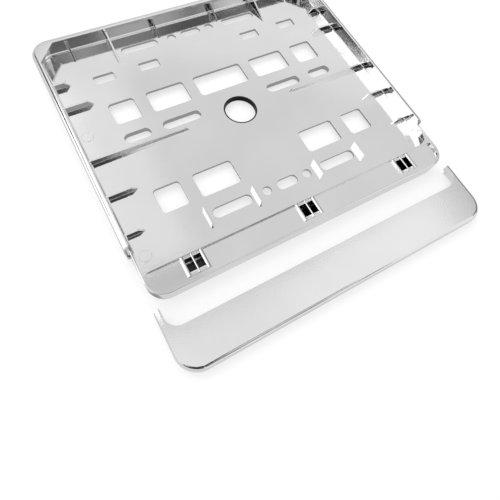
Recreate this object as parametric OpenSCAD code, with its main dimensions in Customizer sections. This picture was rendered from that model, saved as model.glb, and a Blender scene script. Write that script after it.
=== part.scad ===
// Number plate holder: a plated tray for a square rear plate, and the bar that closes it.
// The tray lies on its back, face up. The bar lies in front of it, taken off, also face up.
// Inside the modules X and Y are counted from the middle of the centre hole, Z from the back.

/* [Tray outline] */
// Width over the rim
outer_w = 320; // [312:1:328]
// From the centre hole up to the outer top edge
top_reach = 141.8; // [140:0.1:148]
// From the centre hole down to the outer lower edge
bottom_reach = 142.7; // [141:0.1:147]
// Height of the rim's face above the back
holder_h = 20.4; // [19:0.1:23]
// Radius of the outer top corners
corner_r = 18; // [14:1:24]
// Radius of the outer lower corners
low_corner_r = 17; // [12:1:24]
// From where the side rims stop down to the step into the trough
notch_lead = 23.2; // [21:0.1:26]
// Step inwards of the outline below the side rims
low_inset = 3.3; // [3:0.1:5]
// Height of the raised end above the panel
low_wall_h = 8.2; // [5:0.1:9]
// Roll of the raised end's outer edge
low_roll = 1; // [0.5:0.1:1.2]
// From where the side rims stop down to where the panel starts to narrow
bend_lead = 1.8; // [0.5:0.1:6]
// Radius of that bend
bend_r = 34; // [30:0.5:60]

/* [Rim] */
// Width of the rim's face along the sides
rim_side_w = 5.6; // [5:0.1:8]
// Width of the rim's face along the top
rim_top_w = 7.3; // [6:0.1:10]
// Thickness of the rim's face
rim_face_t = 3; // [2.4:0.1:4]
// How far the rim's face draws back at the ends of the side rims, and the horns' tips reach over
rim_end_d = 2.4; // [1:0.1:4]
// Roll of the rim's outer edge
rim_roll = 4.4; // [2:0.2:5]
// Wall thickness of skirts and rim walls
wall = 1.8; // [1.4:0.1:2.2]
// Radius of the tray's inner corners at the panel
inner_corner_r = 12.5; // [8:0.5:16]
// Reach of the top corner webs along X
web_x = 17.3; // [13:0.1:22]
// Reach of the top corner webs along Y
web_y = 20.5; // [15:0.1:26]
// Thickness of the top corner webs
web_t = 2; // [1.5:0.1:3]
// Radius of the coves where the walls meet the panel
cove_r = 1.8; // [1:0.1:2.4]

/* [Panel] */
// Height of the panel's upper face above the back
panel_z = 7.2; // [6.6:0.1:8]
// Thickness of the panel
panel_t = 2.6; // [2:0.1:3]
// Depth of the collars under the centre hole and the middle slots
collar_depth = 5; // [3.5:0.1:6]
// Wall of those collars
collar_wall = 1.8; // [1.2:0.1:2.5]

/* [Windows] */
// Height of the square and oblong windows
window_h = 25.5; // [20:0.5:28]
// Corner radius of the windows
window_r = 3.6; // [2:0.2:6]
// Width of the square windows
square_w = 25.6; // [20:0.2:28]
// Width of the oblong windows
oblong_w = 40; // [32:0.5:42]
// Width of the window above the centre hole
middle_w = 54.4; // [40:0.4:58]
// Distance of the square windows from the middle
square_x = 103.8; // [100:0.2:108]
// Distance of the oblong windows from the middle
oblong_x = 58.3; // [56:0.1:61]
// Row of windows above the centre hole
upper_row_y = 42.8; // [40:0.2:46]
// From the row of windows below the centre hole down to the lower slots
lower_row_lead = 31.8; // [28:0.2:34]

/* [Fixing holes] */
// Radius of the centre hole
centre_r = 15.6; // [12:0.2:17]
// Width of the middle and lower slots
slot_h = 10.4; // [8:0.2:11]
// Width of the top slots
top_slot_h = 9.2; // [7:0.2:11]
// Length of the long slots
long_slot = 39.6; // [30:0.2:42]
// Length of the short middle slots
short_slot = 26; // [20:0.5:30]
// Length of the slots on the centre line
centre_slot = 22; // [16:0.5:26]
// Row of the middle slots
middle_slot_y = 11.8; // [9:0.2:13]
// From the row of the lower slots and round holes down to the step into the trough
low_slot_lead = 26.6; // [25:0.1:29]
// Row of the top slots and round holes
top_slot_y = 114.7; // [112:0.1:118]
// Radius of the four round holes
round_hole_r = 4.5; // [3:0.1:5]
// Distance of the round holes from the middle
round_hole_x = 22.2; // [20:0.2:26]
// Width of the small square-ended slots
small_slot_w = 20.8; // [14:0.2:24]
// Height of the small square-ended slots
small_slot_h = 10.4; // [7:0.2:12]
// Corner radius of the small square-ended slots
small_slot_r = 1.6; // [0.8:0.2:3]
// Row of the small square-ended slots
small_slot_y = 88; // [85:0.5:92]
// Outer pair of small slots, distance from the middle
small_outer_x = 106.5; // [102:0.5:110]
// Inner pair of small slots, distance from the middle
small_inner_x = 59.2; // [55:0.2:64]

/* [Ribs] */
// Height of the ribs that carry the plate
rib_h = 5.5; // [4:0.1:7]
// Height of the long middle rib at its free end
rib_tip_h = 3.6; // [2.4:0.1:4]
// Thickness of all ribs
rib_t = 1.9; // [1.4:0.1:2.6]
// From the top wall down to the first side ribs
top_rib_drop = 42.8; // [36:0.1:50]
// From the top wall down to the second side ribs
second_rib_drop = 72; // [64:0.5:80]
// Place of the long ribs beside the centre hole
long_rib_y = -1; // [-3:0.1:1]
// From the ends of the side rims up to the fourth side ribs
fourth_rib_rise = 55.5; // [48:0.5:62]
// From the ends of the side rims up to the lowest side ribs
low_rib_rise = 15.9; // [12:0.1:20]
// Length of the side ribs nearest the top corners
short_rib = 15.5; // [10:0.5:20]
// Length of the side ribs above the notch
low_rib = 17.5; // [12:0.5:20]
// Length of the side ribs next to them
mid_rib = 27.5; // [20:0.5:34]
// Length of the long rib beside the centre hole
long_rib = 96.5; // [80:0.5:110]
// Height of the top gussets where they meet the wall
gusset_h = 10.5; // [6:0.5:11.5]
// Length of the outer and inner top gussets
gusset_short = 16.5; // [12:0.5:24]
// Length of the middle top gussets
gusset_long = 35; // [26:0.5:40]
// Length of the upright ribs by the lower slots
upright_len = 18; // [12:0.5:22]
// How far the upright ribs reach above the row of the lower slots
upright_rise = 8.3; // [6:0.1:10]
// Height of the upright ribs
upright_h = 5.2; // [3:0.1:7]
// From the top wall down to the top pin marks
top_pin_drop = 33.4; // [28:0.1:38]
// Place of the middle pin marks
middle_pin_y = 28.1; // [20:0.1:36]
// From the step into the trough up to the low pin marks
low_pin_rise = 16.9; // [12:0.1:20]
// From the side walls to the middle of the round pin marks
pin_mark_edge = 8.4; // [7.5:0.1:12]
// Radius of the round pin marks
pin_mark_r = 5.2; // [4:0.2:7]
// Height of the round pin marks
pin_mark_h = 0.25; // [0.1:0.05:0.5]

/* [Raised end with the trough] */
// From the step into the trough down to the outer lower edge
trough_w = 23.3; // [21:0.1:26]
// Depth of the trough below the raised end's upper face
trough_depth = 2.1; // [1.4:0.1:3]
// Thickness of the trough's floor
trough_t = 2; // [1.6:0.1:2.6]
// Thickness of the wall between the panel and the trough
ridge_t = 2; // [1.6:0.1:3]
// Width of the raised end's face beside the trough
low_wall_t = 3.3; // [2.6:0.1:5]
// Width of the raised end's face below the trough
low_lip = 1.5; // [1.3:0.1:2.5]
// Radius of the trough's lower corners
trough_r = 13.5; // [8:0.5:15]
// Radius of the trough's upper corners
trough_top_r = 3; // [2:0.2:6]

/* [Sockets and hooks] */
// Distance of the outer sockets from the middle
socket_x = 113; // [106:0.5:120]
// Width of a socket
socket_w = 21; // [19:0.2:24]
// Height of the sockets' tops above the trough's floor
socket_rise = 2; // [1.6:0.1:3]
// Thickness of the floor that closes the sockets' slots at the back
socket_floor = 1.5; // [1.2:0.1:2]
// Width of each of a socket's two slots
hook_slot_w = 6.2; // [5.5:0.1:7]
// Length of a socket's slots along Y
hook_slot_l = 13; // [12:0.2:14]
// Web between a socket's two slots
socket_web = 1.6; // [1.2:0.1:2]
// Front wall of a socket
socket_front = 2.4; // [2:0.1:3]
// Depth of the ledge that a hook catches
ledge_d = 1.6; // [1:0.1:2]
// Thickness of that ledge
ledge_t = 1.6; // [1.2:0.1:2]
// Height of the ledge above the lower ends of the fitted hooks
ledge_rise = 1.9; // [1.5:0.1:3]
// Clearance of a hook in its slot
hook_gap = 0.4; // [0.2:0.1:0.8]
// Thickness of a hook's stem
hook_t = 2; // [1.6:0.1:2.4]

/* [Closing bar] */
// Height of the bar over its skirt
bar_h = 11.5; // [10.5:0.1:12]
// Thickness of the bar's face
bar_face_t = 2; // [1.6:0.1:2.6]
// From the bar's inner edge down to its outer edge
bar_w = 39.1; // [37:0.1:42]
// From the bar's inner edge up to the tips of its horns
horn_l = 17.4; // [15:0.1:20]
// Radius of the bar's outer corners
bar_corner_r = 20; // [16:0.5:26]
// Radius where the horns meet the inner edge
horn_fillet_r = 12; // [8:0.5:15]
// Gap between the bar and the tray's side rims and raised end
horn_gap = 0.4; // [0.2:0.1:1]
// Clearance of the tongues inside the side rims
tongue_gap = 0.2; // [0.1:0.05:0.4]
// Height of the tongues
tongue_h = 5; // [3:0.1:6]
// Length of the tongues on the horns' tips
tongue_l = 2.4; // [1.5:0.1:4]
// How far the bar lies from its fitted place
bar_shift = 54.3; // [45:0.1:80]

/* [Hidden] */
plating = [0.86, 0.87, 0.88];
$fn = 64;
// Overshoot of the cuts beyond the faces they open
over = 1;
// How far in from the bar's edge its full inner height starts, clear of the roll
roll_inset = rim_roll * 0.7;

half_w = outer_w / 2;
low_half_w = half_w - low_inset;
inner_half_w = half_w - rim_side_w;
inner_top = top_reach - rim_top_w;
under_z = panel_z - panel_t;
trough_reach = bottom_reach - trough_w;
notch_reach = trough_reach - notch_lead;
bend_start = notch_reach + bend_lead;
low_slot_y = low_slot_lead - trough_reach;
lower_row_y = low_slot_y + lower_row_lead;
trough_half_w = low_half_w - low_wall_t;
trough_low = bottom_reach - low_lip;
low_wall_z = panel_z + low_wall_h;
trough_z = low_wall_z - trough_depth;
panel_low = trough_reach - ridge_t;
socket_top = trough_z + socket_rise;
socket_low = trough_reach + hook_slot_l + 2 * socket_front;
slot_mid_y = -(socket_low - socket_front - hook_slot_l / 2);
slot_offset = (hook_slot_w + socket_web) / 2;
socket_side = (socket_w - 2 * hook_slot_w - socket_web) / 2;

// Fitted height of the bar's skirt above the holder's back
bar_low_z = holder_h - bar_h;
// The horns' tips meet the ends of the side rims
horn_top = notch_reach + horn_gap;
nose_top = rim_end_d - horn_top;
bar_inner_y = horn_top + horn_l;
bar_reach = bar_inner_y + bar_w;
hook_l = bar_h - bar_face_t;
hook_w = hook_slot_w - 2 * hook_gap;
ledge_z = bar_low_z + ledge_rise;
// The frame's origin is below the middle of everything that is drawn
frame_y = (bar_reach + bar_shift - top_reach) / 2;

side_rib_rows = [
    [inner_top - top_rib_drop, short_rib, rib_h],
    [inner_top - second_rib_drop, mid_rib, rib_h],
    [long_rib_y, long_rib, rib_tip_h],
    [fourth_rib_rise - notch_reach, mid_rib, rib_h],
    [low_rib_rise - notch_reach, low_rib, rib_h]
];
gusset_columns = [[34.5, gusset_short], [84.9, gusset_long], [124.5, gusset_short]];
upright_columns = [34.1, 83.6];
pin_mark_rows = [inner_top - top_pin_drop, middle_pin_y, low_pin_rise - trough_reach];
pin_mark_x = inner_half_w - pin_mark_edge;

// Rectangle between two corners
module box_2d(low, high) {
    translate(low) square([high[0] - low[0], high[1] - low[1]]);
}

// Slot with round ends, centred
module obround(length, width) {
    square([length - width, width], center = true);
    for (side = [-1, 1])
        translate([side * (length - width) / 2, 0]) circle(d = width);
}

// Rectangle with four equal round corners, centred
module rounded_window(width, height, r) {
    square([width - 2 * r, height], center = true);
    square([width, height - 2 * r], center = true);
    for (x = [-1, 1], y = [-1, 1])
        translate([x * (width / 2 - r), y * (height / 2 - r)]) circle(r);
}

// Rectangle from y_low to y_high whose two top corners are round
module arched_2d(half, y_low, y_high, r) {
    box_2d([-half, y_low], [half, y_high - r]);
    box_2d([r - half, y_low], [half - r, y_high]);
    for (side = [-1, 1])
        translate([side * (half - r), y_high - r]) circle(r);
}

// The same with the two lower corners round
module bowled_2d(half, y_low, y_high, r) {
    mirror([0, 1]) arched_2d(half, -y_high, -y_low, r);
}

// What a rolled edge takes off a square one: the edge is at X 0 and Z 0
module roll_cut_2d(r) {
    difference() {
        translate([-r, -r]) square(r + over);
        translate([-r, -r]) circle(r);
    }
}

// Rolls the outer edge of an arched outline whose face is at height z
module arched_roll(half, y_low, y_high, corner, r, z) {
    for (side = [0, 1]) mirror([side, 0, 0]) {
        translate([half, y_high - corner, z])
            rotate([90, 0, 0]) linear_extrude(y_high - corner - y_low + over) roll_cut_2d(r);
        translate([half - corner, y_high - corner, z])
            rotate_extrude(angle = 90) translate([corner, 0]) roll_cut_2d(r);
    }
    translate([corner - half, y_high, z])
        rotate([90, 0, 90]) linear_extrude(2 * (half - corner)) roll_cut_2d(r);
}

// Outline of the tray with the rim round it
module rim_outline() {
    arched_2d(half_w, -notch_reach, top_reach, corner_r);
}

// Outline of the tray below the side rims
module low_outline() {
    bowled_2d(low_half_w, -bottom_reach, -notch_reach + over, low_corner_r);
}

// The tray's outer block, with the rolled rim and the lower edge
module outer_block() {
    difference() {
        linear_extrude(holder_h) rim_outline();
        arched_roll(half_w, -notch_reach, top_reach, corner_r, rim_roll, holder_h);
        end_slope(-notch_reach, low_wall_z, holder_h);
    }
    difference() {
        linear_extrude(low_wall_z) low_outline();
        mirror([0, 1, 0])
            arched_roll(low_half_w, notch_reach, bottom_reach, low_corner_r, low_roll, low_wall_z);
    }
}

// Space above the panel, inside the rim and down to the raised end
module tray_space() {
    translate([0, 0, panel_z])
        linear_extrude(holder_h - web_t - panel_z) {
            arched_2d(inner_half_w, -bend_start, inner_top, inner_corner_r);
            intersection() {
                bowled_2d(inner_half_w, -bend_start - bend_r, 0, bend_r);
                box_2d([-inner_half_w, -panel_low], [inner_half_w, 0]);
            }
        }
    translate([0, 0, holder_h - web_t - over / 2])
        linear_extrude(web_t + over) polygon([
            [-inner_half_w, -bend_start],
            [inner_half_w, -bend_start],
            [inner_half_w, inner_top - web_y],
            [inner_half_w - web_x, inner_top],
            [web_x - inner_half_w, inner_top],
            [-inner_half_w, inner_top - web_y]
        ]);
}

// What lies inside the raised end's outer wall, up to a line along X
module low_inside(y_high) {
    bowled_2d(low_half_w - wall, wall - bottom_reach, y_high, low_corner_r - wall);
}

// Hollow behind the panel, the trough and the rim, open at the back
module back_space() {
    translate([0, 0, -over]) linear_extrude(under_z + over) union() {
        arched_2d(half_w - wall, wall - notch_reach, top_reach - wall, corner_r - wall);
        low_inside(over + wall - notch_reach);
    }
    translate([0, 0, -over]) linear_extrude(trough_z - trough_t + over) intersection() {
        low_inside(over + wall - notch_reach);
        box_2d([-half_w, -bottom_reach], [half_w, -trough_reach]);
    }
    translate([0, 0, under_z - over]) linear_extrude(holder_h - rim_face_t - under_z + over)
        difference() {
            arched_2d(half_w - wall, -notch_reach - over, top_reach - wall, corner_r - wall);
            arched_2d(inner_half_w + wall, -notch_reach - 2 * over, inner_top + wall, inner_corner_r + wall);
        }
}

// Shallow trough in the raised end's upper face
module trough_space() {
    translate([0, 0, trough_z]) linear_extrude(low_wall_z) intersection() {
        bowled_2d(trough_half_w, -trough_low, trough_r, trough_r);
        arched_2d(trough_half_w, -bottom_reach, -trough_reach, trough_top_r);
    }
}

// Coves where the rim's walls meet the panel
module coves() {
    module profile() {
        difference() {
            translate([-cove_r, -over / 2]) square([cove_r + over / 2, cove_r + over / 2]);
            translate([-cove_r, cove_r]) circle(cove_r);
        }
    }
    for (side = [0, 1]) mirror([side, 0, 0]) {
        translate([inner_half_w, inner_top - inner_corner_r, panel_z])
            rotate([90, 0, 0]) linear_extrude(inner_top - inner_corner_r + notch_reach) profile();
        translate([inner_half_w - inner_corner_r, inner_top - inner_corner_r, panel_z])
            rotate_extrude(angle = 90) translate([inner_corner_r, 0]) profile();
    }
    translate([inner_corner_r - inner_half_w, inner_top, panel_z])
        rotate([90, 0, 90]) linear_extrude(2 * (inner_half_w - inner_corner_r)) profile();
}

// Rib on a side wall, with a sloping top and a free end cut at 45 degrees
module side_rib(y, length, tip_h) {
    root = inner_half_w + wall / 2;
    tip = inner_half_w - length;
    translate([0, y + rib_t / 2, panel_z - over / 2])
        rotate([90, 0, 0]) linear_extrude(rib_t) polygon([
            [root, 0],
            [tip, 0],
            [tip, over / 2],
            [tip + tip_h, over / 2 + tip_h],
            [inner_half_w, over / 2 + rib_h],
            [root, over / 2 + rib_h]
        ]);
}

// Triangular gusset on the top wall
module gusset(x, length) {
    root = inner_top + wall / 2;
    translate([x - rib_t / 2, 0, panel_z - over / 2])
        rotate([90, 0, 90]) linear_extrude(rib_t) polygon([
            [root, 0],
            [inner_top - length, 0],
            [inner_top - length, over / 2],
            [inner_top, over / 2 + gusset_h],
            [root, over / 2 + gusset_h]
        ]);
}

module ribs() {
    for (side = [0, 1]) mirror([side, 0, 0]) {
        for (row = side_rib_rows) side_rib(row[0], row[1], row[2]);
        for (column = gusset_columns) gusset(column[0], column[1]);
        for (x = upright_columns)
            translate([x - rib_t / 2, low_slot_y + upright_rise - upright_len, panel_z - over / 2])
                cube([rib_t, upright_len, upright_h + over / 2]);
        for (y = pin_mark_rows)
            translate([pin_mark_x, y, panel_z - over / 2]) cylinder(r = pin_mark_r, h = pin_mark_h + over / 2);
    }
}

// Deeper walls behind the centre hole and the middle slots
module collars() {
    translate([0, 0, panel_z - collar_depth]) linear_extrude(collar_depth - panel_t / 2) {
        circle(centre_r + collar_wall);
        for (side = [-1, 1]) {
            translate([side * oblong_x, middle_slot_y])
                obround(long_slot + 2 * collar_wall, slot_h + 2 * collar_wall);
            translate([side * square_x, middle_slot_y])
                obround(short_slot + 2 * collar_wall, slot_h + 2 * collar_wall);
        }
    }
}

// Takes off everything above a sloping end: the slope starts at y_low and z_low and rises to z_high
module end_slope(y_low, z_low, z_high) {
    rise = z_high - z_low;
    translate([-half_w - over, y_low, z_low])
        rotate([90, 0, 90]) linear_extrude(outer_w + 2 * over) polygon([
            [0, 0],
            [rim_end_d * (rise + over) / rise, rise + over],
            [-rim_end_d - over, rise + over],
            [-rim_end_d - over, 0]
        ]);
}

// Every window, slot and hole through the panel
module openings() {
    translate([0, 0, -over]) linear_extrude(panel_z + over + over) {
        circle(centre_r);
        translate([0, upper_row_y]) rounded_window(middle_w, window_h, window_r);
        for (y = [top_slot_y, low_slot_y])
            translate([0, y]) obround(centre_slot, y > 0 ? top_slot_h : slot_h);
        for (side = [-1, 1]) {
            for (y = [upper_row_y, lower_row_y]) {
                translate([side * square_x, y]) rounded_window(square_w, window_h, window_r);
                translate([side * oblong_x, y]) rounded_window(oblong_w, window_h, window_r);
            }
            for (x = [small_inner_x, small_outer_x])
                translate([side * x, small_slot_y])
                    rounded_window(small_slot_w, small_slot_h, small_slot_r);
            for (y = [top_slot_y, low_slot_y])
                translate([side * round_hole_x, y]) circle(round_hole_r);
            translate([side * oblong_x, top_slot_y]) obround(long_slot, top_slot_h);
            translate([side * oblong_x, low_slot_y]) obround(long_slot, slot_h);
            translate([side * oblong_x, middle_slot_y]) obround(long_slot, slot_h);
            translate([side * square_x, middle_slot_y]) obround(short_slot, slot_h);
        }
    }
}

// One socket, centred on X 0, before its slots are cut
module socket_block() {
    side_r = socket_side / 2;
    side_mid = (socket_w - socket_side) / 2;
    translate([-socket_w / 2, -socket_low, 0])
        cube([socket_w, socket_low - trough_reach + over, socket_top - side_r]);
    for (side = [-1, 1])
        translate([side * side_mid, -socket_low, socket_top - side_r])
            rotate([-90, 0, 0]) cylinder(r = side_r, h = socket_low - trough_reach);
    translate([0, -socket_low, socket_top - socket_web / 2])
        rotate([-90, 0, 0]) cylinder(r = socket_web / 2, h = socket_low - trough_reach);
    translate([-socket_web / 2, -socket_low, 0])
        cube([socket_web, socket_low - trough_reach, socket_top - socket_web / 2]);
}

// The two slots of a socket, down to its floor, with a ledge left on the front wall
module socket_slots() {
    for (side = [-1, 1]) difference() {
        translate([side * slot_offset - hook_slot_w / 2, slot_mid_y - hook_slot_l / 2, socket_floor])
            cube([hook_slot_w, hook_slot_l, socket_top + over]);
        translate([side * slot_offset - hook_slot_w, slot_mid_y - hook_slot_l / 2 - over, ledge_z])
            cube([2 * hook_slot_w, ledge_d + over, ledge_t]);
    }
}

module holder_body() {
    color(plating) difference() {
        union() {
            difference() {
                outer_block();
                tray_space();
                back_space();
                trough_space();
            }
            coves();
            ribs();
            collars();
            for (x = [-socket_x, 0, socket_x]) translate([x, 0, 0]) socket_block();
        }
        openings();
        for (x = [-socket_x, 0, socket_x]) translate([x, 0, 0]) socket_slots();
    }
}

// Straight inner edge of the bar and its two fillets, moved out by an inset
module bar_mouth(inset) {
    bowled_2d(inner_half_w + inset, -bar_inner_y - inset, nose_top + over, horn_fillet_r + inset);
}

// Outline of the bar in its fitted place
module bar_outline() {
    difference() {
        bowled_2d(half_w, -bar_reach, nose_top, bar_corner_r);
        bar_mouth(0);
    }
}

// Takes the horns' tips back to the sloping ends that they meet
module nose_cut() {
    rise = holder_h - low_wall_z;
    low_z = bar_h - rise;
    translate([-half_w - over, -horn_top, 0])
        rotate([90, 0, 90]) linear_extrude(outer_w + 2 * over) polygon([
            [0, -over],
            [0, low_z],
            [rim_end_d * (rise + over) / rise, bar_h + over],
            [rim_end_d + 2 * over, bar_h + over],
            [rim_end_d + 2 * over, -over]
        ]);
}

// What lies inside the bar's skirt and its inner edge, drawn in by an inset from the outer edge
module bar_inside(inset) {
    difference() {
        bowled_2d(half_w - inset, inset - bar_reach, -horn_top - wall, bar_corner_r - inset);
        bar_mouth(wall);
    }
}

// The space under the bar's face: inside its skirt, and where the tray's raised end passes
module bar_hollow() {
    translate([0, 0, -over]) linear_extrude(over + bar_h - rim_roll) bar_inside(wall);
    translate([0, 0, -over]) linear_extrude(over + bar_h - bar_face_t) bar_inside(roll_inset);
    translate([0, 0, -over]) linear_extrude(over + low_wall_z + horn_gap - bar_low_z)
        bowled_2d(low_half_w + horn_gap, -bottom_reach - horn_gap, over - horn_top, low_corner_r + horn_gap);
}

// One pair of hooks under the bar, centred on X 0, with barbs that catch the ledges
module hook_pair() {
    front = slot_mid_y - hook_slot_l / 2 + ledge_d + hook_gap;
    barb = ledge_z - hook_gap;
    for (side = [-1, 1])
        translate([side * slot_offset - hook_w / 2, 0, 0])
            rotate([90, 0, 90]) linear_extrude(hook_w) polygon([
                [front, bar_h - bar_face_t / 2],
                [front, barb - bar_low_z],
                [front - ledge_d, barb - bar_low_z],
                [front, 0],
                [front + hook_t, 0],
                [front + hook_t, bar_h - bar_face_t / 2]
            ]);
}

// Tongues that slip inside the ends of the side rims
module horn_tongues() {
    inner_x = low_half_w + tongue_gap;
    outer_x = half_w - wall - tongue_gap;
    top_z = bar_h - rim_face_t - tongue_gap;
    for (side = [0, 1]) mirror([side, 0, 0])
        translate([inner_x, -horn_top - over, top_z - tongue_h])
            cube([outer_x - inner_x, tongue_l + horn_gap + over, tongue_h]);
}

module closing_bar() {
    color(plating) translate([0, -bar_shift, 0]) {
        difference() {
            linear_extrude(bar_h) bar_outline();
            mirror([0, 1, 0])
                arched_roll(half_w, -nose_top - over, bar_reach, bar_corner_r, rim_roll, bar_h);
            nose_cut();
            bar_hollow();
        }
        for (x = [-socket_x, 0, socket_x]) translate([x, 0, 0]) hook_pair();
        horn_tongues();
    }
}

translate([0, frame_y, 0]) {
    holder_body();
    closing_bar();
}
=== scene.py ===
"""Number plate holder: the plated tray and its closing bar, lying face up on a pale floor."""
import math

import bmesh
import bpy
from mathutils import Matrix, Vector
from mathutils.bvhtree import BVHTree


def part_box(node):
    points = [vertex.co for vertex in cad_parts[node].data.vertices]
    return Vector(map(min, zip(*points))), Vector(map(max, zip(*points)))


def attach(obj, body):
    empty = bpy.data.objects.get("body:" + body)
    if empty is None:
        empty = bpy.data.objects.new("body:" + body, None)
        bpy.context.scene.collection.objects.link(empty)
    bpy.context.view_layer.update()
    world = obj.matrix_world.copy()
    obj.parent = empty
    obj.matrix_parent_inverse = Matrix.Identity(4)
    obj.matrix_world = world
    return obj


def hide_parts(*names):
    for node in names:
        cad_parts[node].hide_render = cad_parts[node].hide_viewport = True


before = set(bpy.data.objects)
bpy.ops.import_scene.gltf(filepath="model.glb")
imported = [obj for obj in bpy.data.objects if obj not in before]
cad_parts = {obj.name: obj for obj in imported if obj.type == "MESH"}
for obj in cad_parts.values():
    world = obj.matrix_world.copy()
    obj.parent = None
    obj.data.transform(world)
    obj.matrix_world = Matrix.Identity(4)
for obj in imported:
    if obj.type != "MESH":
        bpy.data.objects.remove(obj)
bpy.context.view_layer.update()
scene = bpy.context.scene

# Camera, fitted to the photograph's frame of 500 by 500
CAMERA_PLACE = Vector((-0.149124, -0.186132, 0.300713))
CAMERA_TARGET = Vector((-0.065298, -0.104105, 0.0072))
CAMERA_ROLL = 17.679
SENSOR = 36.0
LENS = 26.34

# Edges: how far the moulding's edges are rounded, and from which angle on
EDGE_ROUND = 0.00025
EDGE_ANGLE = math.radians(24)
FLAT_ANGLE = math.radians(0.3)
SAME_PLACE = 0.000005
# A rounded corner further than STRAY from the moulding's surface has run off it, and the edges
# that end within NO_ROOM of such a place stay sharp
STRAY = 0.00035
NO_ROOM = 0.004
TRIALS = 4


def link(name, data):
    """A new object in the scene."""
    made = bpy.data.objects.new(name, data)
    scene.collection.objects.link(made)
    return made


def camera():
    data = bpy.data.cameras.new("camera")
    data.sensor_width = SENSOR
    data.lens = LENS
    made = link("camera", data)
    turn = (CAMERA_TARGET - CAMERA_PLACE).to_track_quat("-Z", "Y").to_matrix().to_4x4()
    roll = Matrix.Rotation(math.radians(CAMERA_ROLL), 4, "Z")
    made.matrix_world = Matrix.Translation(CAMERA_PLACE) @ turn @ roll
    scene.camera = made


class Nodes:
    """Short calls for building a node tree."""

    def __init__(self, tree):
        self.tree = tree
        self.tree.nodes.clear()

    def add(self, kind, **settings):
        node = self.tree.nodes.new(kind)
        for key, value in settings.items():
            setattr(node, key, value)
        return node

    def join(self, source, target):
        self.tree.links.new(source, target)

    def math(self, operation, first, second=None, clamp=False):
        node = self.add("ShaderNodeMath", operation=operation, use_clamp=clamp)
        for socket, value in zip(node.inputs, (first, second)):
            if value is None:
                continue
            if isinstance(value, (int, float)):
                socket.default_value = value
            else:
                self.join(value, socket)
        return node.outputs[0]

    def step(self, value, low, high, to_low=0.0, to_high=1.0):
        """A smooth step of value between low and high."""
        node = self.add("ShaderNodeMapRange", interpolation_type="SMOOTHSTEP")
        self.join(value, node.inputs["Value"])
        node.inputs["From Min"].default_value = low
        node.inputs["From Max"].default_value = high
        node.inputs["To Min"].default_value = to_low
        node.inputs["To Max"].default_value = to_high
        return node.outputs["Result"]

    def inside(self, place, low, high, soft):
        """1 where a place lies between two corners in plan, with a soft border."""
        split = self.add("ShaderNodeSeparateXYZ")
        self.join(place, split.inputs[0])
        mask = None
        for value, start, stop in zip(split.outputs[:2], low, high):
            up = self.step(value, start, start + soft)
            down = self.step(value, stop, stop - soft)
            side = self.math("MULTIPLY", up, down)
            mask = side if mask is None else self.math("MULTIPLY", mask, side)
        return mask

    def blend(self, mask, first, second):
        """The first value where the mask is 0, the second where it is 1."""
        node = self.add("ShaderNodeMix")
        self.join(mask, node.inputs[0])
        for socket, value in zip(node.inputs[2:4], (first, second)):
            if isinstance(value, (int, float)):
                socket.default_value = value
            else:
                self.join(value, socket)
        return node.outputs[0]


# Studio round the object: the level that the polished plating finds in each direction. Only
# glossy rays see the patches, which are fitted to this camera. A patch has its range
# along x, y and z of the direction, the softness of its border, and its level.
OVERHEAD = 0.74
PLAIN = 0.85
PATCHES = (
    # panel: lighter at the left and along the top, and the bar in front
    ((-1.00, 0.10), (0.30, 0.72), (0.68, 1.00), 0.07, 0.85),
    ((-1.00, 0.00), (0.62, 0.72), (0.70, 0.80), 0.03, 0.97),
    ((-1.00, 1.00), (0.40, 1.00), (0.30, 0.65), 0.03, 0.85),
    ((-1.00, 1.00), (-0.20, 0.12), (-1.00, 1.00), 0.07, 0.87),
    ((0.30, 0.66), (-0.20, 0.12), (0.70, 1.00), 0.03, 0.94),
    ((0.70, 1.00), (-0.20, 0.16), (-1.00, 1.00), 0.03, 0.70),
    ((-0.30, 0.12), (0.27, 0.31), (0.80, 1.00), 0.03, 0.57),
    ((-1.00, 1.00), (0.785, 1.00), (-1.00, 1.00), 0.015, 0.67),
    # white card at the left, with a dark gap low down
    ((-1.00, -0.08), (0.24, 0.68), (-1.00, 1.00), 0.04, 1.50),
    ((-0.57, -0.20), (0.60, 0.84), (0.45, 0.652), 0.012, 0.03),
    ((-0.75, -0.61), (0.47, 0.60), (0.40, 0.57), 0.02, 0.12),
    # wall at the front: light high up at the right, dark low down, with grey reflections at the left
    ((0.15, 1.00), (-1.00, -0.20), (0.66, 1.00), 0.06, 0.92),
    ((-0.06, 1.00), (-1.00, -0.20), (-1.00, 0.66), 0.06, 0.90),
    ((-0.06, 0.53), (-1.00, -0.60), (0.48, 0.63), 0.02, 0.02),
    ((-0.06, 0.47), (-1.00, -0.62), (0.62, 0.72), 0.02, 0.07),
    ((-0.06, 0.24), (-1.00, -0.62), (0.62, 0.72), 0.04, 0.22),
    ((-0.06, 0.09), (-1.00, -0.68), (0.62, 0.72), 0.03, 0.38),
    ((-0.06, 0.46), (-1.00, -0.68), (0.48, 0.60), 0.02, 0.75),
    ((-0.06, 0.36), (-1.00, -0.68), (0.48, 0.60), 0.03, 0.20),
    ((-0.06, 0.28), (-1.00, -0.68), (0.48, 0.60), 0.05, 0.46),
    ((-0.06, 0.12), (-1.00, -0.68), (0.48, 0.60), 0.02, 0.11),
    # photographer, and the dark corner behind
    ((-1.00, 0.02), (-0.70, -0.38), (0.70, 1.00), 0.05, 0.05),
    ((-1.00, 0.06), (-0.60, -0.38), (0.78, 1.00), 0.03, 0.04),
    ((-0.40, 0.44), (-0.38, -0.23), (0.80, 1.00), 0.03, 0.07),
    ((-1.00, -0.15), (-1.00, -0.32), (0.46, 0.64), 0.04, 0.00),
    ((0.78, 1.00), (-0.30, 1.00), (-1.00, 1.00), 0.08, 0.25),
)


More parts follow.
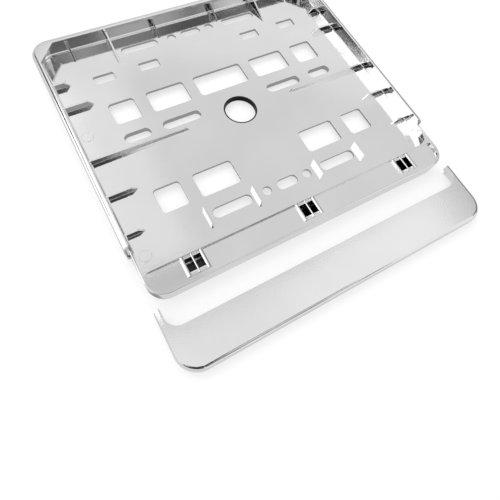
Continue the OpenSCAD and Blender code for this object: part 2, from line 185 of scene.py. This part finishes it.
def studio():
    """White for the camera, plain light for the floor, and the cards and flags for gloss."""
    world = bpy.data.worlds.new("studio")
    scene.world = world
    world.use_nodes = True
    n = Nodes(world.node_tree)
    place = n.add("ShaderNodeTexCoord")
    split = n.add("ShaderNodeSeparateXYZ")
    n.join(place.outputs["Generated"], split.inputs[0])
    level = OVERHEAD
    for ranges in PATCHES:
        mask = None
        for value, (low, high) in zip(split.outputs, ranges[:3]):
            for edge, outside in ((low, low - ranges[3]), (high, high + ranges[3])):
                if abs(edge) < 1.0:
                    side = n.step(value, outside, edge)
                    mask = side if mask is None else n.math("MULTIPLY", mask, side)
        level = n.blend(mask, level, ranges[4])
    path = n.add("ShaderNodeLightPath")
    gloss = n.blend(path.outputs["Is Glossy Ray"], PLAIN, level)
    seen = n.blend(path.outputs["Is Camera Ray"], gloss, 1.0)
    background = n.add("ShaderNodeBackground")
    background.inputs["Color"].default_value = (1, 1, 1, 1)
    n.join(seen, background.inputs["Strength"])
    out = n.add("ShaderNodeOutputWorld")
    n.join(background.outputs[0], out.inputs["Surface"])


FLOOR_HALF = 4.0
FLOOR_GLOW = 0.62
FLOOR_IN_GLOSS = 0.72
# painted shade: the floor's glow to gloss under the tray's footprint
FLOOR_PAINTED_SHADE = 0.32
FLOOR_PAINT = 0.40
SHADE_EDGE = 0.004


def floor():
    """Pale floor: white to the camera, with the soft shadows, and a glow to gloss with painted shade
    under the tray.
    """
    mesh = bpy.data.meshes.new("floor")
    corners = [(-1, -1), (1, -1), (1, 1), (-1, 1)]
    mesh.from_pydata([(a * FLOOR_HALF, b * FLOOR_HALF, 0.0) for a, b in corners], [], [(0, 1, 2, 3)])
    made = link("floor", mesh)
    material = bpy.data.materials.new("pale_floor")
    material.use_nodes = True
    n = Nodes(material.node_tree)
    paint = n.add("ShaderNodeBsdfDiffuse")
    paint.inputs["Color"].default_value = (FLOOR_PAINT, FLOOR_PAINT, FLOOR_PAINT, 1)
    glow = n.add("ShaderNodeEmission")
    path = n.add("ShaderNodeLightPath")
    rays = n.math("MAXIMUM", path.outputs["Is Camera Ray"], path.outputs["Is Transmission Ray"])
    place = n.add("ShaderNodeNewGeometry").outputs["Position"]
    low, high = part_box("holder_body")
    under = n.inside(place, low, high, SHADE_EDGE)
    n.join(n.math("MULTIPLY", rays, FLOOR_GLOW), glow.inputs["Strength"])
    both = n.add("ShaderNodeAddShader")
    n.join(paint.outputs[0], both.inputs[0])
    n.join(glow.outputs[0], both.inputs[1])
    # painted shade: to gloss the floor glows less under the tray's footprint, with a soft border
    mirrored = n.add("ShaderNodeEmission")
    n.join(n.blend(under, FLOOR_IN_GLOSS, FLOOR_PAINTED_SHADE), mirrored.inputs["Strength"])
    choice = n.add("ShaderNodeMixShader")
    n.join(path.outputs["Is Glossy Ray"], choice.inputs[0])
    n.join(both.outputs[0], choice.inputs[1])
    n.join(mirrored.outputs[0], choice.inputs[2])
    out = n.add("ShaderNodeOutputMaterial")
    n.join(choice.outputs[0], out.inputs["Surface"])
    mesh.materials.append(material)


LAMP_WIDTH = 1.6
LAMP_DEPTH = 1.0
LAMP_WATTS = 9.0
LAMP_PLACE = Vector((-0.2, 0.9, 1.3))


def lamps():
    """One large soft lamp above the far side, so that the shadows fall towards the camera."""
    data = bpy.data.lights.new("soft_lamp", "AREA")
    data.shape = "RECTANGLE"
    data.size = LAMP_WIDTH
    data.size_y = LAMP_DEPTH
    data.energy = LAMP_WATTS
    made = link("soft_lamp", data)
    aim = (-LAMP_PLACE).to_track_quat("-Z", "Y").to_matrix().to_4x4()
    made.matrix_world = Matrix.Translation(LAMP_PLACE) @ aim
    made.visible_glossy = False


# Plating
TINT = (0.87, 0.87, 0.873)
ROUGHNESS = 0.09
DRAFT = 0.03
GRAIN_SIZE = 0.0016
GRAIN_DEPTH = 0.00003
WAVE_SIZE = 0.07
WAVE_DEPTH = 0.00012
STAIN = 0.05
STAIN_SCALE = 16.0

# Hook pockets and the centre hole's rim: the photograph shows them nearly black, so their
# plating is darkened here by place with painted shade, as a choice of looks
POCKET_SPACING = 0.113
POCKET_HALF = 0.0076
POCKET_LOW = -0.1000
POCKET_HIGH = -0.0900
POCKET_TOP = 0.0140
# painted shade: the plating's colour in the hook pockets and under the centre hole's rim
POCKET_SHADE = 0.04
HOLE_MIDDLE = 0.0328
HOLE_COLLAR = 0.0172
HOLE_TOP = 0.0108
SIDE_BORDER = 0.0003
TOP_BORDER = 0.0012
HOLE_BORDER = 0.0004


def drafted_normal(n):
    """The face's normal with the slight draft that every moulded wall has."""
    face = n.add("ShaderNodeNewGeometry").outputs["Normal"]
    split = n.add("ShaderNodeSeparateXYZ")
    n.join(face, split.inputs[0])
    upright = n.step(n.math("ABSOLUTE", split.outputs["Z"]), 0.5, 0.1, 0.0, DRAFT)
    lift = n.add("ShaderNodeCombineXYZ")
    n.join(upright, lift.inputs["Z"])
    total = n.add("ShaderNodeVectorMath", operation="ADD")
    n.join(face, total.inputs[0])
    n.join(lift.outputs[0], total.inputs[1])
    unit = n.add("ShaderNodeVectorMath", operation="NORMALIZE")
    n.join(total.outputs[0], unit.inputs[0])
    return unit.outputs[0]


def painted_shade_mask(n, place):
    """1 inside the hook pockets and under the rim of the centre hole, where the plating gets painted
    shade.
    """
    split = n.add("ShaderNodeSeparateXYZ")
    n.join(place, split.inputs[0])
    x, y, z = split.outputs
    side = n.math("ABSOLUTE", x)
    outer = n.math("ABSOLUTE", n.math("SUBTRACT", side, POCKET_SPACING))
    across = n.step(n.math("MINIMUM", side, outer), POCKET_HALF, POCKET_HALF - SIDE_BORDER)
    above_low = n.step(y, POCKET_LOW - SIDE_BORDER, POCKET_LOW)
    below_high = n.step(y, POCKET_HIGH + SIDE_BORDER, POCKET_HIGH)
    along = n.math("MULTIPLY", above_low, below_high)
    below = n.step(z, POCKET_TOP, POCKET_TOP - TOP_BORDER)
    pocket = n.math("MULTIPLY", n.math("MULTIPLY", across, along), below)
    up = n.math("SUBTRACT", y, HOLE_MIDDLE)
    reach = n.math("SQRT", n.math("ADD", n.math("MULTIPLY", x, x), n.math("MULTIPLY", up, up)))
    near = n.step(reach, HOLE_COLLAR, HOLE_COLLAR - HOLE_BORDER)
    collar = n.math("MULTIPLY", near, n.step(z, HOLE_TOP, HOLE_TOP - HOLE_BORDER))
    return n.math("MAXIMUM", pocket, collar)


def plating(name, tint):
    """Bright plating on moulded plastic, with faint waves, a fine grain and a little draft, and painted
    shade in the hook pockets and under the centre hole's rim.
    """
    material = bpy.data.materials.new(name)
    material.use_nodes = True
    n = Nodes(material.node_tree)
    place = n.add("ShaderNodeTexCoord").outputs["Object"]
    normal = drafted_normal(n)
    for size, depth, detail in ((WAVE_SIZE, WAVE_DEPTH, 1.0), (GRAIN_SIZE, GRAIN_DEPTH, 2.0)):
        noise = n.add("ShaderNodeTexNoise")
        noise.inputs["Scale"].default_value = 1 / size
        noise.inputs["Detail"].default_value = detail
        n.join(place, noise.inputs["Vector"])
        bump = n.add("ShaderNodeBump")
        bump.inputs["Distance"].default_value = depth
        n.join(noise.outputs[0], bump.inputs["Height"])
        n.join(normal, bump.inputs["Normal"])
        normal = bump.outputs[0]
    stain = n.add("ShaderNodeTexNoise")
    stain.inputs["Scale"].default_value = STAIN_SCALE
    stain.inputs["Detail"].default_value = 3.0
    n.join(place, stain.inputs["Vector"])
    colour = n.add("ShaderNodeMix", data_type="RGBA")
    n.join(n.step(stain.outputs[0], 0.3, 0.7), colour.inputs["Factor"])
    colour.inputs["A"].default_value = tuple(level * (1 - STAIN) for level in tint) + (1,)
    colour.inputs["B"].default_value = tuple(tint) + (1,)
    shader = n.add("ShaderNodeBsdfPrincipled")
    shader.inputs["Metallic"].default_value = 1.0
    shader.inputs["Roughness"].default_value = ROUGHNESS
    # painted shade: the plating turns dark in the hook pockets and under the centre hole's rim
    dark = n.add("ShaderNodeMix", data_type="RGBA")
    n.join(painted_shade_mask(n, place), dark.inputs["Factor"])
    n.join(colour.outputs["Result"], dark.inputs["A"])
    dark.inputs["B"].default_value = (POCKET_SHADE, POCKET_SHADE, POCKET_SHADE, 1)
    n.join(dark.outputs["Result"], shader.inputs["Base Color"])
    n.join(normal, shader.inputs["Normal"])
    out = n.add("ShaderNodeOutputMaterial")
    n.join(shader.outputs[0], out.inputs["Surface"])
    return material


def round_edges(b, edges):
    bmesh.ops.bevel(
        b, geom=edges, offset=EDGE_ROUND, offset_type="OFFSET", segments=2, profile=0.5,
        affect="EDGES", clamp_overlap=False, harden_normals=False,
    )


def edges_with_room(b):
    """The sharp edges that can be rounded with no corner running off the surface."""
    surface = BVHTree.FromBMesh(b)
    b.edges.index_update()
    edges = [e for e in b.edges if len(e.link_faces) == 2 and e.calc_face_angle(0) > EDGE_ANGLE]
    for _ in range(TRIALS):
        trial = b.copy()
        trial.edges.ensure_lookup_table()
        round_edges(trial, [trial.edges[e.index] for e in edges])
        nearest = [surface.find_nearest(v.co) for v in trial.verts]
        trial.free()
        strays = [place for place, _, _, off in nearest if off > STRAY]
        if not strays:
            break
        edges = [e for e in edges if all((v.co - s).length > NO_ROOM for v in e.verts for s in strays)]
    return edges


def moulding(node, name, material):
    """The node's own shape as a fine moulding, with its edges rounded and its flat faces truly flat."""
    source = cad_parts[node]
    mesh = bpy.data.meshes.new(name)
    b = bmesh.new()
    b.from_mesh(source.data)
    b.transform(source.matrix_world)
    bmesh.ops.remove_doubles(b, verts=b.verts, dist=SAME_PLACE)
    bmesh.ops.dissolve_limit(b, angle_limit=FLAT_ANGLE, verts=b.verts, edges=b.edges)
    round_edges(b, edges_with_room(b))
    for face in b.faces:
        face.smooth = True
    b.to_mesh(mesh)
    b.free()
    made = link(name, mesh)
    mesh.materials.append(material)
    weights = made.modifiers.new("flat_faces", "WEIGHTED_NORMAL")
    weights.keep_sharp = True
    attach(made, "root")
    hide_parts(node)
    return made


camera()
studio()
floor()
lamps()
moulding("holder_body", "tray_moulding", plating("tray_plating_look", TINT))
moulding("closing_bar", "bar_moulding", plating("bar_plating_look", TINT))

scene.view_settings.view_transform = "Standard"
